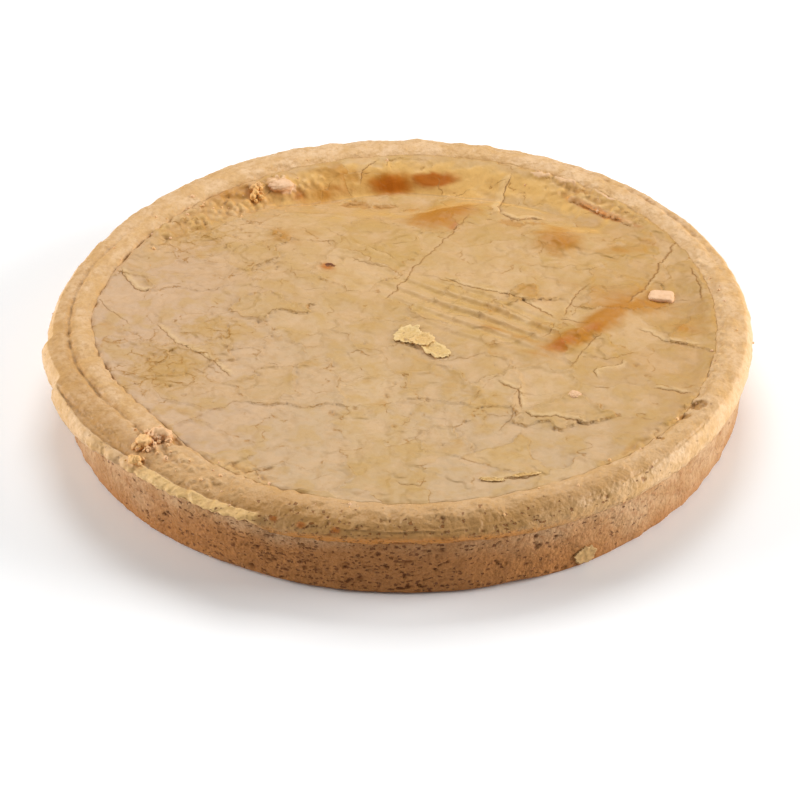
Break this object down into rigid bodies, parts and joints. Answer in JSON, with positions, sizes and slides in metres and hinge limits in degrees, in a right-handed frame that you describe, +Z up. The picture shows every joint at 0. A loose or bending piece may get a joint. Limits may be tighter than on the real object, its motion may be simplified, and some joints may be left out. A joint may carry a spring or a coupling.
{
  "type": "ricotta tart",
  "caption": "Round baked tart with a brown porous pastry side and a golden cracked pastry lid that dips inside a rolled rim.",
  "frame": {"origin": "middle of the flat base, on the surface the tart stands on", "axes": "+Z up; -Y is the side where the lid's seam is nearest level with the rim, and the lid is deepest towards +Y"},
  "size_m": [0.2408, 0.2361, 0.032],
  "materials": {
    "pastry": "matte baked pastry, golden on top and browner at the side"
  },
  "bodies": {
    "root": {"tart": "pastry"}
  },
  "joints": []
}
